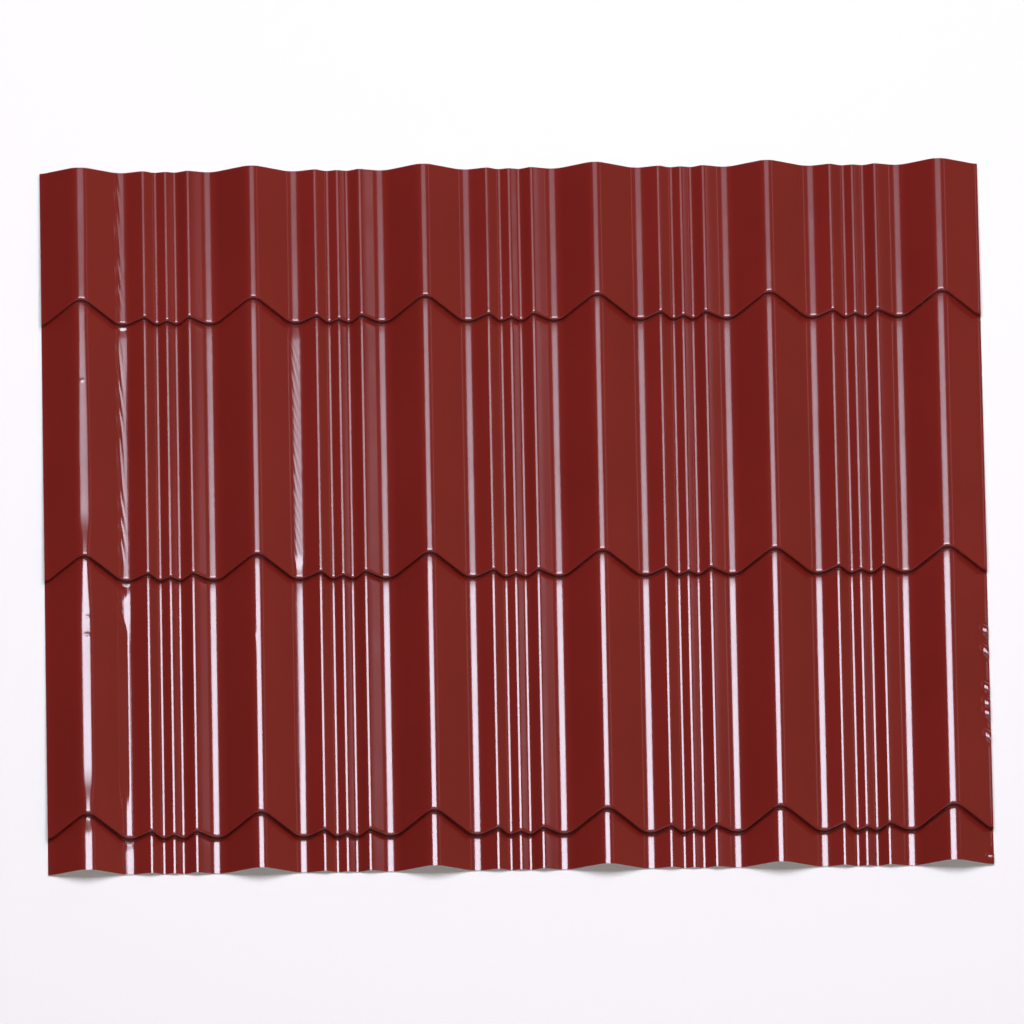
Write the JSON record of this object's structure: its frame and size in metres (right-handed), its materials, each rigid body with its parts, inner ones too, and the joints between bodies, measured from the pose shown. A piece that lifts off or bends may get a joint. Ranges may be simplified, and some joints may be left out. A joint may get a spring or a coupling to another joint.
{
  "type": "tile effect metal roofing sheet",
  "caption": "Pressed steel roofing sheet with rolling waves across it and step lines that imitate rows of tiles.",
  "frame": {"origin": "centre of the sheet's outline at the height of the feet it lies on", "axes": "+X across the waves, +Y up the roof towards the upper edge, +Z out of the roof"},
  "size_m": [1.146, 0.888, 0.0365],
  "materials": {
    "red_paint": "gloss"
  },
  "bodies": {
    "root": {"roofing_sheet": "red_paint"}
  },
  "joints": []
}
